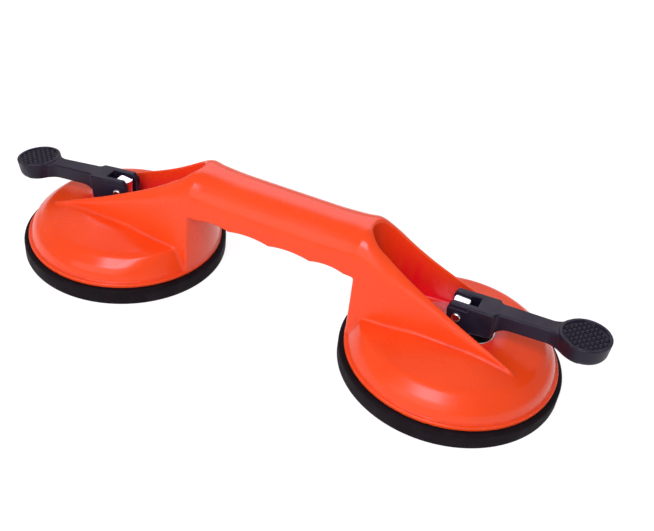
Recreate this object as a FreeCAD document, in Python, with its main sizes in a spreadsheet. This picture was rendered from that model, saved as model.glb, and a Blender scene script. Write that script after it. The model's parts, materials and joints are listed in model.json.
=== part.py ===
"""Two-cup suction lifter for floor tiles, glass and raised-floor panels.

A moulded shell carries two suction cups. A forked cam lever over each cup turns on a pin in a
draw stud. Pressing the lever down rolls its cam on a steel wear plate, which draws the stud and the
middle of the rubber disc upwards. The frame has X along the handle, Y across it and Z up, with
the origin on the standing surface midway between the cups. Everything on the left is the
right-hand set turned half a turn about Z. Lengths are in millimetres and angles in degrees.
"""
import FreeCAD, Part
import math
import os
import re

import Sketcher

SIZES = {
    # layout
    "cup_spacing": (202.0, "distance between the two cup centres"),
    # rubber disc: a thick rim that stands on the surface and a web that is drawn up in the middle
    "disc_radius": (58.5, "outer radius of the rubber rim"),
    "rim_height": (9.4, "height of the rubber rim, on which the shell sits"),
    "rim_round": (1.8, "rounding of the outer corners of the rim"),
    "seat_width": (4.6, "width of the flat seat for the shell's lip"),
    "web_inset": (10.0, "distance inside the lip at which the flexing web starts"),
    "web_thickness": (4.6, "thickness of the flexing web"),
    "web_relief": (0.8, "height of the web's underside above the surface when released"),
    "hub_margin": (1.0, "margin of the web's thick hub round the anchor plate"),
    "hub_extra": (1.4, "how much thicker the hub is than the web"),
    # steel insert, draw stud and return spring
    "plate_radius": (20.0, "radius of the steel anchor plate"),
    "plate_thickness": (2.5, "thickness of the anchor plate"),
    "stud_radius": (4.5, "radius of the draw stud"),
    "stud_side_clearance": (0.25, "clearance between the stud's flats and the lever's ears"),
    "stud_above_pin": (5.9, "height of the stud's top above the pin"),
    "stud_top_round": (1.2, "rounding of the stud's top"),
    "spring_radius": (8.0, "mean radius of the return spring"),
    "spring_wire": (1.5, "wire diameter of the return spring"),
    "spring_turns": (4.0, "turns of the return spring"),
    # shell: cups
    "disc_overhang": (2.7, "how far the rubber rim stands out past the shell's lip"),
    "lip_height": (2.0, "height of the lip"),
    "lip_width": (1.1, "how far the lip stands out past the foot of the cup wall"),
    "wall_rise": (8.6, "height of the top of the steep wall above the seat"),
    "wall_inset": (3.5, "distance of the top of the steep wall inside the lip"),
    "shoulder_rise": (14.8, "height of the shoulder above the seat"),
    "shoulder_inset": (11.0, "distance of the shoulder inside the lip"),
    "crown_edge_rise": (17.0, "height of the crown's outer edge above the seat"),
    "crown_edge_inset": (15.3, "distance of the crown's outer edge inside the lip"),
    "crown_rise": (18.65, "height of the flat crown above the seat"),
    "crown_margin": (4.0, "margin of the flat crown round the wear plate"),
    "wall_round": (7.0, "rounding between wall and shoulder"),
    "shoulder_round": (6.0, "rounding of the shoulder"),
    "cup_wall": (3.2, "wall thickness of the cups"),
    "boss_radius": (6.9, "radius of the guide boss round the stud"),
    "boss_depth": (2.6, "depth of the guide boss below the ceiling"),
    "stud_clearance": (0.06, "radial running clearance of the stud in its guide"),
    # shell: lever pockets
    "block_setback": (0.2, "how far the block's inner face stands back from the lip"),
    "cheek_half_width": (18.8, "half width of the raised block over each cup"),
    "slope_start": (10.3, "distance inside the lip at which the block's top starts to slope down"),
    "slope_drop": (3.3, "height of that start below the handle's top"),
    "slope_reach": (40.5, "reach of the slope outwards of the cup centre"),
    "slope_sink": (0.7, "how far the slope's outer end lies below the shoulder"),
    "slope_bow": (1.6, "how far the slope is bowed down at half its length"),
    "peak_length": (9.0, "length of the rounded peak between slope and handle"),
    "peak_rise": (1.2, "height of the peak above the handle's top"),
    "crest_round": (8.0, "rounding of the block's upper corners, seen along the handle"),
    "cheek_round": (3.0, "rounding of the cheeks' sloping upper edges"),
    "pocket_end_radius": (10.5, "radius of the pocket's inner end"),
    "pocket_end_wall": (4.5, "thickness of the wall behind the pocket's inner end"),
    "pocket_mouth_wall": (0.5, "thickness of each cheek at the pocket's outer end"),
    # shell: handle
    "handle_half_width": (17.75, "half width of the handle"),
    "hand_gap": (47.3, "height of the points between the finger hollows"),
    "handle_depth": (22.0, "depth of the handle, from those points to its top"),
    "handle_round": (15.5, "rounding of the handle's upper edges"),
    "flare_length": (10.0, "length over which the handle widens into each block"),
    "flare_inset": (0.2, "how far the widened end stays inside the block's outline"),
    "handle_wall": (3.4, "wall thickness of the channel-shaped handle"),
    "finger_pitch": (23.6, "distance between finger hollows"),
    "finger_depth": (1.5, "depth of the finger hollows"),
    "rib_thickness": (2.4, "thickness of the cross ribs in the handle"),
    # wear plate
    "wear_half_length": (19.8, "half length of the wear plate"),
    "wear_half_width": (12.5, "half width of the wear plate, and radius of its ends"),
    "wear_thickness": (1.2, "thickness of the wear plate"),
    "wear_clearance": (0.3, "radial clearance of the stud in the wear plate"),
    # levers
    "pin_height": (9.3, "height of the pin over the wear plate when locked"),
    "draw": (4.0, "how far a full swing of the lever lifts the stud"),
    "lever_swing": (90.0, "swing of the lever from locked to released"),
    "lever_droop": (7.2, "angle of the locked lever below level"),
    "right_raise": (9.6, "how far the right lever stands raised from locked"),
    "left_raise": (0.0, "how far the left lever stands raised from locked"),
    "cam_clearance": (0.05, "clearance between cam and wear plate"),
    "fork_half_width": (7.6, "half width of the fork"),
    "fork_length": (18.5, "reach of the fork outwards of the pin"),
    "fork_top": (7.4, "height of the lever's top face above the pin"),
    "slot_half_width": (3.75, "half width of the slot between the fork's ears"),
    "slot_length": (9.0, "reach of the slot outwards of the pin"),
    "heel_reach": (16.5, "reach of the cam's flat heel outwards of the pin"),
    "heel_height": (3.0, "height of the heel's blunt end"),
    "arm_half_width": (5.2, "half width of the arm beside the fork"),
    "neck_half_width": (4.6, "half width of the arm beside the thumb disc"),
    "arm_thickness": (8.3, "thickness of the arm"),
    "thumb_at": (61.0, "distance of the thumb disc's centre from the pin"),
    "thumb_radius": (12.6, "radius of the thumb disc"),
    "thumb_thickness": (10.5, "thickness of the thumb disc"),
    "thumb_step": (0.8, "height of the thumb disc's rim above the arm"),
    "thumb_rim": (1.7, "width of the raised rim round the thumb disc"),
    "thumb_recess": (1.0, "depth of the recess inside the rim"),
    "bump_pitch": (3.3, "distance between the grip bumps"),
    "bump_radius": (1.1, "radius of the grip bumps"),
    "thumb_round": (3.0, "rounding of the thumb disc's lower edge"),
    # lever pin
    "pin_radius": (2.0, "radius of the lever pin"),
    "pin_head_radius": (2.5, "radius of the pin's domed heads"),
    "pin_head_height": (1.2, "height of the pin's domed heads"),
    "pin_clearance": (0.05, "radial running clearance of the pin in the stud"),
}

doc = FreeCAD.newDocument("suction_lifter")
sheet = doc.addObject("Spreadsheet::Sheet", "Sizes")
for row, (alias, (value, meaning)) in enumerate(SIZES.items(), start=1):
    sheet.set(f"A{row}", alias)
    sheet.set(f"B{row}", str(value))
    sheet.set(f"C{row}", meaning)
    sheet.setAlias(f"B{row}", alias)
doc.recompute()

ORIGIN_POINT = (-1, 1)
SUB_PARTS = []


def size(expression):
    """The value of an expression in the sheet's names."""
    return float(sheet.evalExpression(expression))


def bind(thing, **expressions):
    """Ties properties of a document object to expressions in the sheet."""
    for name, expression in expressions.items():
        thing.setExpression(name.replace("__", "."), expression)


def on_sheet(expression):
    """Writes plain size names as references that other objects can read."""
    return re.sub(r"[a-z_]+", lambda word: f"Sizes.{word[0]}" if word[0] in SIZES else word[0],
                  expression)


def plane_of(body, role):
    """The origin plane of a body with that role."""
    return next(f for f in body.Origin.OriginFeatures if f.Role == role)


def outline(body, name, role, corners):
    """A closed sketch on a body's origin plane, each corner tied to the sheet.

    A corner is (across, up). The side after a corner is straight, or an arc through
    a third and fourth expression.
    """
    sketch = body.newObject("Sketcher::SketchObject", name)
    sketch.AttachmentSupport = [(plane_of(body, role), "")]
    sketch.MapMode = "FlatFace"
    points = [FreeCAD.Vector(size(corner[0]), size(corner[1]), 0) for corner in corners]
    first_ends = []
    for number, (corner, start) in enumerate(zip(corners, points)):
        end = points[(number + 1) % len(points)]
        if len(corner) == 4:
            through = FreeCAD.Vector(size(corner[2]), size(corner[3]), 0)
            sketch.addGeometry(Part.Arc(start, through, end), False)
        else:
            sketch.addGeometry(Part.LineSegment(start, end), False)
        starts_first = sketch.getPoint(number, 1).distanceToPoint(start) < 1e-6
        first_ends.append(1 if starts_first else 2)

    def fix(geometry, position, across, up):
        for kind, expression in (("DistanceX", across), ("DistanceY", up)):
            index = sketch.addConstraint(
                Sketcher.Constraint(kind, *ORIGIN_POINT, geometry, position, size(expression)))
            sketch.setExpression(f"Constraints[{index}]", on_sheet(expression))

    for number, corner in enumerate(corners):
        follower = (number + 1) % len(corners)
        sketch.addConstraint(Sketcher.Constraint(
            "Coincident", number, 3 - first_ends[number], follower, first_ends[follower]))
        fix(number, first_ends[number], corner[0], corner[1])
    for number, corner in enumerate(corners):
        if len(corner) == 4:
            through = FreeCAD.Vector(size(corner[2]), size(corner[3]), 0)
            marker = sketch.addGeometry(Part.Point(through), True)
            sketch.addConstraint(Sketcher.Constraint("PointOnObject", marker, 1, number))
            fix(marker, 1, corner[2], corner[3])
    return sketch


def turned(name, corners):
    """A body turned about its own Z axis from half its section."""
    body = doc.addObject("PartDesign::Body", name)
    sketch = outline(body, f"{name}_section", "XZ_Plane", corners)
    solid = body.newObject("PartDesign::Revolution", f"{name}_turned")
    solid.Profile = sketch
    solid.ReferenceAxis = (sketch, ["V_Axis"])
    solid.Angle = 360.0
    return body


def padded(name, role, corners, thickness, both_ways=True):
    """A body of constant thickness from its outline."""
    body = doc.addObject("PartDesign::Body", name)
    sketch = outline(body, f"{name}_outline", role, corners)
    solid = body.newObject("PartDesign::Pad", f"{name}_pad")
    solid.Profile = sketch
    if both_ways:
        solid.SideType = "Symmetric"
    solid.setExpression("Length", on_sheet(thickness))
    return body


def rounded(body, name, radius, *wanted):
    """Rounds the edges of a body that any of the tests picks."""
    doc.recompute()
    base = body.Tip
    picked = [f"Edge{number}" for number, edge in enumerate(base.Shape.Edges, start=1)
              if any(test(edge) for test in wanted)]
    fillet = body.newObject("PartDesign::Fillet", name)
    fillet.Base = (base, picked)
    fillet.setExpression("Radius", on_sheet(radius))
    return fillet


def ring_at(radius, height):
    """A test for the circular edge at that radius and height about Z."""
    def test(edge):
        if edge.Curve.TypeId != "Part::GeomCircle":
            return False
        same_height = abs(edge.Curve.Center.z - size(height)) < 0.01
        return same_height and abs(edge.Curve.Radius - size(radius)) < 0.01
    return test


def shape_of(kind, name, **expressions):
    """A Part primitive with its sizes tied to the sheet."""
    thing = doc.addObject(kind, name)
    bind(thing, **{key: on_sheet(value) for key, value in expressions.items()})
    return thing


def combined(kind, name, *things):
    """A boolean of several objects, where a cut takes the rest from the first."""
    if kind == "cut":
        base, *rest = things
        tool = rest[0] if len(rest) == 1 else combined("fuse", f"{name}_tools", *rest)
        made = doc.addObject("Part::Cut", name)
        made.Base, made.Tool = base, tool
    else:
        made = doc.addObject({"fuse": "Part::MultiFuse", "common": "Part::MultiCommon"}[kind], name)
        made.Shapes = list(things)
    made.Refine = True
    return made


def sub_part(thing, node):
    """Marks an object as a finished piece with its own name."""
    thing.Label = node
    SUB_PARTS.append(thing)
    return thing


def lying_edge(y, z):
    """A test for edges along X whose middle is at that Y, on either side, and that Z."""
    def test(edge):
        middle = edge.CenterOfMass
        flat = edge.BoundBox.YLength < 0.01 and edge.BoundBox.ZLength < 0.01
        return flat and abs(abs(middle.y) - size(y)) < 0.01 and abs(middle.z - size(z)) < 0.01
    return test


def sloping_edge(edge):
    """A test for long edges that climb along X on either side."""
    box = edge.BoundBox
    return box.YLength < 0.01 and box.XLength > size("cheek_half_width") and box.ZLength > 1


# Heights that several pieces share.
SEAT = "rim_height"
CROWN = "(rim_height + crown_rise)"
CEILING = f"({CROWN} - cup_wall)"
LOCKED_PIN = f"({CROWN} + wear_thickness + pin_height)"
LOCKED_PLATE = "(web_relief + draw + web_thickness + hub_extra)"
HANDLE_TOP = "(hand_gap + handle_depth)"
SLOPE_TOP = f"({HANDLE_TOP} - slope_drop)"
PEAK = f"({HANDLE_TOP} + peak_rise)"

# Radii and reaches that several pieces share.
LIP = "(disc_radius - disc_overhang)"
SEAT_INSIDE = f"({LIP} - seat_width)"
WEB_EDGE = f"({LIP} - web_inset)"
HUB = "(plate_radius + hub_margin)"
CROWN_FLAT = "(wear_half_length + crown_margin)"
SLOPE_START = f"({LIP} - slope_start)"
POCKET_END = f"({LIP} - pocket_end_wall)"
HANDLE_REACH = f"(cup_spacing / 2 - {LIP} + pocket_end_wall * 0.6)"
FLATS = "(slot_half_width - stud_side_clearance)"


def at_cup(thing, side, height="0"):
    """Places an object on a cup's axis, turned half round on the left."""
    thing.Placement.Rotation = FreeCAD.Rotation(FreeCAD.Vector(0, 0, 1), SIDES[side])
    reach = "cup_spacing / 2" if side == "right" else "-cup_spacing / 2"
    thing.setExpression("Placement.Base.x", on_sheet(reach))
    thing.setExpression("Placement.Base.z", on_sheet(height))
    return thing


SIDES = {"right": 0.0, "left": 180.0}


def lowered(side):
    """How far the stud stands below its locked height while its lever is raised."""
    return f"(draw * {side}_raise / lever_swing)"


def shell_cup(side):
    """The outside of a cup, with its lip, steep wall and crown."""
    cup = turned(f"cup_{side}", [
        ("0", SEAT),
        (LIP, SEAT),
        (LIP, f"{SEAT} + lip_height"),
        (f"{LIP} - lip_width", f"{SEAT} + lip_height"),
        (f"{LIP} - wall_inset", f"{SEAT} + wall_rise"),
        (f"{LIP} - shoulder_inset", f"{SEAT} + shoulder_rise"),
        (f"{LIP} - crown_edge_inset", f"{SEAT} + crown_edge_rise"),
        (CROWN_FLAT, CROWN),
        ("0", CROWN),
    ])
    rounded(cup, f"cup_{side}_wall_round", "wall_round",
            ring_at(f"{LIP} - wall_inset", f"{SEAT} + wall_rise"))
    rounded(cup, f"cup_{side}_shoulder_round", "shoulder_round",
            ring_at(f"{LIP} - shoulder_inset", f"{SEAT} + shoulder_rise"),
            ring_at(f"{LIP} - crown_edge_inset", f"{SEAT} + crown_edge_rise"))
    return at_cup(cup, side)


def shell_cavity(side, whose=""):
    """The hollow under a cup, which leaves the guide boss standing down round the stud."""
    cavity = turned(f"{whose}cavity_{side}", [
        ("0", f"{SEAT} - 1"),
        (SEAT_INSIDE, f"{SEAT} - 1"),
        (SEAT_INSIDE, SEAT),
        (f"{LIP} - wall_inset - cup_wall", f"{SEAT} + wall_rise - cup_wall / 2"),
        (f"{LIP} - shoulder_inset - cup_wall * 0.7", f"{SEAT} + shoulder_rise - cup_wall * 0.7"),
        (f"{LIP} - crown_edge_inset - cup_wall * 0.3", f"{SEAT} + crown_edge_rise - cup_wall"),
        (CROWN_FLAT, CEILING),
        ("boss_radius", CEILING),
        ("boss_radius", f"{CEILING} - boss_depth"),
        ("0", f"{CEILING} - boss_depth"),
    ])
    return at_cup(cavity, side)


def shell_block(side):
    """The raised block over a cup: a wedge with flat cheeks, cut by the lever pocket."""
    middle_z = f"({SLOPE_TOP} + {SEAT} + shoulder_rise - slope_sink) / 2 - slope_bow"
    wedge = padded(f"wedge_{side}", "XZ_Plane", [
        (f"-{LIP} - 2", f"{SEAT} + lip_height / 2"),
        (f"-{LIP} - 2", HANDLE_TOP),
        (f"-{SLOPE_START} - peak_length", HANDLE_TOP,
         f"-{SLOPE_START} - peak_length / 2", PEAK),
        (f"-{SLOPE_START}", SLOPE_TOP, f"(slope_reach - {SLOPE_START}) / 2", middle_z),
        ("slope_reach", f"{SEAT} + shoulder_rise - slope_sink"),
        ("slope_reach", f"{SEAT} + lip_height / 2"),
    ], "cheek_half_width * 2")
    rounded(wedge, f"wedge_{side}_round", "cheek_round", sloping_edge)
    at_cup(wedge, side)
    drum = shape_of("Part::Cylinder", f"drum_{side}", Radius=f"{LIP} - block_setback",
                    Height=f"{PEAK} * 2")
    at_cup(drum, side)
    end_centre = f"-{POCKET_END} + pocket_end_radius"
    pocket = padded(f"pocket_{side}", "XY_Plane", [
        (end_centre, "pocket_end_radius", f"-{POCKET_END}", "0"),
        (end_centre, "-pocket_end_radius"),
        ("slope_reach", "-cheek_half_width + pocket_mouth_wall"),
        (f"{LIP} + 2", "-cheek_half_width - 1"),
        (f"{LIP} + 2", "cheek_half_width + 1"),
        ("slope_reach", "cheek_half_width - pocket_mouth_wall"),
    ], f"{PEAK} * 2", both_ways=False)
    at_cup(pocket, side)
    crest = padded(f"crest_{side}", "XZ_Plane", [
        (f"-{LIP} - 2", SEAT),
        ("slope_reach + 1", SEAT),
        ("slope_reach + 1", PEAK),
        (f"-{LIP} - 2", PEAK),
    ], "cheek_half_width * 2")
    rounded(crest, f"crest_{side}_round", "crest_round", lying_edge("cheek_half_width", PEAK))
    at_cup(crest, side)
    return combined("common", f"block_{side}", wedge, drum, crest), pocket


def bar_section(x, half_width, bottom, top, round_radius):
    """The outline of the handle across its length: flat below, rounded above."""
    def at(y, z):
        return FreeCAD.Vector(x, y, z)

    shift = round_radius * (1 - math.sqrt(0.5))
    side = half_width - round_radius
    edges = [
        Part.makeLine(at(-half_width, bottom), at(half_width, bottom)),
        Part.makeLine(at(half_width, bottom), at(half_width, top - round_radius)),
        Part.Arc(at(half_width, top - round_radius), at(half_width - shift, top - shift),
                 at(side, top)).toShape(),
        Part.makeLine(at(side, top), at(-side, top)),
        Part.Arc(at(-side, top), at(shift - half_width, top - shift),
                 at(-half_width, top - round_radius)).toShape(),
        Part.makeLine(at(-half_width, top - round_radius), at(-half_width, bottom)),
    ]
    return Part.Wire(edges)


def handle_flare(side):
    """The short length over which the handle widens into a block."""
    inset = size("flare_inset")
    half = size("cheek_half_width")
    face = size("cup_spacing / 2") - math.sqrt(size(LIP) ** 2 - half ** 2)
    way = 1 if side == "right" else -1
    bottom = size("hand_gap + finger_depth + flare_inset")
    narrow = bar_section(way * (face - size("flare_length")), size("handle_half_width") - inset,
                         bottom, size(HANDLE_TOP) - inset, size("handle_round"))
    wide = bar_section(way * (face + 1), half - inset, bottom,
                       size(f"({HANDLE_TOP} + {PEAK}) / 2"), size("crest_round"))
    flare = doc.addObject("Part::Feature", f"flare_{side}")
    flare.Shape = Part.makeLoft([narrow, wide], True, True)
    return flare


def shell_handle():
    """The handle bar with its finger hollows, before it is hollowed from below."""
    hollow = "hand_gap + finger_depth"
    handle = padded("handle", "XZ_Plane", [
        (f"-{HANDLE_REACH}", "hand_gap"),
        ("-finger_pitch * 1.8", "hand_gap", "-finger_pitch * 1.45", hollow),
        ("-finger_pitch", "hand_gap", "-finger_pitch * 0.5", hollow),
        ("0", "hand_gap", "finger_pitch * 0.5", hollow),
        ("finger_pitch", "hand_gap", "finger_pitch * 1.45", hollow),
        ("finger_pitch * 1.8", "hand_gap"),
        (HANDLE_REACH, "hand_gap"),
        (HANDLE_REACH, HANDLE_TOP),
        (f"-{HANDLE_REACH}", HANDLE_TOP),
    ], "handle_half_width * 2")
    rounded(handle, "handle_round", "handle_round", lying_edge("handle_half_width", HANDLE_TOP))
    return handle


def handle_channel():
    """The hollow of the handle, open below, with cross ribs left at the finger points."""
    reach = f"(cup_spacing / 2 - {LIP} - handle_wall)"
    top = f"{HANDLE_TOP} - handle_wall"
    channel = padded("channel", "XZ_Plane", [
        (f"-{reach}", "hand_gap - 2"),
        (reach, "hand_gap - 2"),
        (reach, top),
        (f"-{reach}", top),
    ], "(handle_half_width - handle_wall) * 2")
    rounded(channel, "channel_round", "handle_round - handle_wall",
            lying_edge("handle_half_width - handle_wall", top))
    ribs = []
    for number, step in enumerate((-1, 0, 1), start=1):
        rib = shape_of("Part::Box", f"rib_{number}", Length="rib_thickness",
                       Width="handle_half_width * 2",
                       Height="handle_depth - finger_depth")
        rib.setExpression("Placement.Base.x", on_sheet(f"finger_pitch * {step} - rib_thickness / 2"))
        rib.setExpression("Placement.Base.y", on_sheet("-handle_half_width"))
        rib.setExpression("Placement.Base.z", on_sheet("hand_gap + finger_depth"))
        ribs.append(rib)
    return combined("cut", "channel_cells", channel, *ribs)


def body_shell():
    """The one-piece moulded shell."""
    outside = []
    for side in SIDES:
        guide = shape_of("Part::Cylinder", f"guide_{side}", Radius="stud_radius + stud_clearance",
                         Height=PEAK)
        at_cup(guide, side)
        hollow = combined("cut", f"cup_{side}_hollow", shell_cup(side), shell_cavity(side), guide)
        block, pocket = shell_block(side)
        walls = combined("cut", f"block_{side}_walls", block, pocket, shell_cavity(side, "block_"))
        outside += [hollow, walls]
    flares = [handle_flare(side) for side in SIDES]
    bar = combined("fuse", "handle_flared", shell_handle(), *flares)
    handle = combined("cut", "handle_hollow", bar, handle_channel())
    return sub_part(combined("fuse", "shell", *outside, handle), "body_shell")


def rubber(side):
    """The rim that stands on the surface and the web that flexes inside it."""
    rim = turned(f"rim_{side}", [
        (WEB_EDGE, "web_relief"),
        (SEAT_INSIDE, "0"),
        ("disc_radius", "0"),
        ("disc_radius", "rim_height"),
        (SEAT_INSIDE, "rim_height"),
        (WEB_EDGE, "web_relief + web_thickness"),
    ])
    rounded(rim, f"rim_{side}_round", "rim_round",
            ring_at("disc_radius", "0"), ring_at("disc_radius", "rim_height"))
    sub_part(at_cup(rim, side), f"rubber_rim_{side}")
    rise = f"web_relief + draw - {lowered(side)}"
    web = turned(f"web_{side}", [
        ("0", rise),
        (HUB, rise),
        (WEB_EDGE, "web_relief"),
        (WEB_EDGE, "web_relief + web_thickness"),
        (f"{HUB} + hub_extra", f"{rise} + web_thickness"),
        (HUB, f"{rise} + web_thickness + hub_extra"),
        ("0", f"{rise} + web_thickness + hub_extra"),
    ])
    sub_part(at_cup(web, side), f"rubber_web_{side}")


def stud_set(side):
    """Steel anchor plate, draw stud and return spring."""
    plate = turned(f"plate_{side}", [
        ("stud_radius", "0"),
        ("plate_radius", "0"),
        ("plate_radius", "plate_thickness"),
        ("stud_radius", "plate_thickness"),
    ])
    at_cup(plate, side, f"{LOCKED_PLATE} - {lowered(side)}")
    sub_part(plate, f"anchor_plate_{side}")

    bottom = f"{LOCKED_PLATE} - {LOCKED_PIN}"
    bar = turned(f"bar_{side}", [
        ("0", bottom),
        ("stud_radius", bottom),
        ("stud_radius", "stud_above_pin"),
        ("0", "stud_above_pin"),
    ])
    rounded(bar, f"bar_{side}_round", "stud_top_round", ring_at("stud_radius", "stud_above_pin"))
    flats = []
    for way in (-1, 1):
        flat = shape_of("Part::Box", f"flat_{side}_{'near' if way < 0 else 'far'}",
                        Length="stud_radius * 2", Width="stud_radius",
                        Height="stud_above_pin + pin_height + wear_thickness")
        flat.setExpression("Placement.Base.x", on_sheet("-stud_radius"))
        start = FLATS if way > 0 else f"-{FLATS} - stud_radius"
        flat.setExpression("Placement.Base.y", on_sheet(start))
        flat.setExpression("Placement.Base.z", on_sheet("-pin_height - wear_thickness"))
        flats.append(flat)
    eye = shape_of("Part::Cylinder", f"eye_{side}", Radius="pin_radius + pin_clearance",
                   Height="stud_radius * 2")
    eye.Placement.Rotation = FreeCAD.Rotation(FreeCAD.Vector(1, 0, 0), 90)
    eye.setExpression("Placement.Base.y", on_sheet("stud_radius"))
    stud = combined("cut", f"stud_{side}", bar, *flats, eye)
    at_cup(stud, side, f"{LOCKED_PIN} - {lowered(side)}")
    sub_part(stud, f"draw_stud_{side}")

    low = size(f"{LOCKED_PLATE} - {lowered(side)} + plate_thickness + spring_wire * 0.55")
    high = size(f"{CEILING} - spring_wire * 0.55")
    radius = size("spring_radius")
    pitch = (high - low) / size("spring_turns")
    helix = Part.makeLongHelix(pitch, high - low, radius)
    wire = Part.Wire([Part.makeCircle(size("spring_wire") / 2, FreeCAD.Vector(radius, 0, 0),
                                      FreeCAD.Vector(0, 1, pitch / (2 * math.pi * radius)))])
    spring = doc.addObject("Part::Feature", f"spring_{side}")
    spring.Shape = Part.Wire(helix.Edges).makePipeShell([wire], True, True)
    at_cup(spring, side, str(low))
    sub_part(spring, f"return_spring_{side}")


def wear_plate(side):
    """A round-ended steel plate on the crown, which takes the cam's wear."""
    plate = padded(f"wear_{side}", "XY_Plane", [
        ("-wear_half_length + wear_half_width", "wear_half_width", "-wear_half_length", "0"),
        ("-wear_half_length + wear_half_width", "-wear_half_width"),
        ("wear_half_length - wear_half_width", "-wear_half_width", "wear_half_length", "0"),
        ("wear_half_length - wear_half_width", "wear_half_width"),
    ], "wear_thickness", both_ways=False)
    hole = shape_of("Part::Cylinder", f"wear_hole_{side}", Radius="stud_radius + wear_clearance",
                    Height="wear_thickness * 3")
    hole.setExpression("Placement.Base.z", on_sheet("-wear_thickness"))
    holed = combined("cut", f"wear_{side}_holed", plate, hole)
    sub_part(at_cup(holed, side, CROWN), f"wear_plate_{side}")


def cam_points():
    """The working edge of the cam in the lever's own frame, from locked to released.

    The edge is the curve whose reach below the pin shrinks evenly with the swing, so that
    the stud moves evenly too.
    """
    even_draw = size("draw") / math.radians(size("lever_swing"))
    locked = math.radians(-size("lever_droop"))
    reach_locked = size("pin_height - cam_clearance")
    points = []
    steps = 24
    for step in range(steps + 1):
        swing = math.radians(size("lever_swing")) * step / steps
        angle = locked + swing
        reach = reach_locked - even_draw * swing
        x = -reach * math.sin(angle) + even_draw * math.cos(angle)
        z = -reach * math.cos(angle) - even_draw * math.sin(angle)
        points.append(FreeCAD.Vector(x, 0, z))
    return points


def lever_side():
    """The lever's side view: cam, heel, top face and arm, as a slab across the whole width."""
    cam = cam_points()
    droop = math.radians(size("lever_droop"))
    along = FreeCAD.Vector(math.cos(droop), 0, math.sin(droop))
    upright = FreeCAD.Vector(-math.sin(droop), 0, math.cos(droop))
    heel = upright * -size("pin_height - cam_clearance") + along * size("heel_reach")
    blunt = heel + upright * size("heel_height")
    top = size("fork_top")
    under = top - size("arm_thickness")
    released = FreeCAD.Vector(-math.sin(droop), 0, math.cos(droop))
    inner_top = cam[-1] + released * ((top - cam[-1].z) / released.z)
    arm_end = size("thumb_at")
    elbow = FreeCAD.Vector(size("fork_length + arm_thickness"), 0, under)
    hollow = (blunt + elbow) * 0.5 + FreeCAD.Vector(-0.3, 0, 0.8)
    curve = Part.BSplineCurve()
    curve.interpolate(list(reversed(cam)))
    edges = [
        curve.toShape(),
        Part.makeLine(cam[0], heel),
        Part.makeLine(heel, blunt),
        Part.Arc(blunt, hollow, elbow).toShape(),
        Part.makeLine(elbow, FreeCAD.Vector(arm_end, 0, under)),
        Part.makeLine(FreeCAD.Vector(arm_end, 0, under), FreeCAD.Vector(arm_end, 0, top)),
        Part.makeLine(FreeCAD.Vector(arm_end, 0, top), inner_top),
        Part.makeLine(inner_top, cam[-1]),
    ]
    face = Part.Face(Part.Wire(edges))
    half = size("fork_half_width")
    face.translate(FreeCAD.Vector(0, -half, 0))
    return face.extrude(FreeCAD.Vector(0, 2 * half, 0))


def grip_bumps():
    """Blunt cones in a staggered grid inside the thumb disc's rim."""
    pitch = size("bump_pitch")
    radius = size("bump_radius")
    inside = size("thumb_radius - thumb_rim") - radius
    floor = size("fork_top + thumb_step - thumb_recess")
    rows = int(inside / pitch) + 1
    cones = []
    for row in range(-2 * rows, 2 * rows + 1):
        for column in range(-rows, rows + 1):
            x = pitch * 0.5 * row
            y = pitch * (column + 0.5 * (row % 2))
            if math.hypot(x, y) > inside:
                continue
            foot = FreeCAD.Vector(size("thumb_at") + x, y, floor - 0.2)
            cones.append(Part.makeCone(radius, radius * 0.55, size("thumb_recess") * 0.9 + 0.2, foot))
    return Part.makeCompound(cones)


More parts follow.
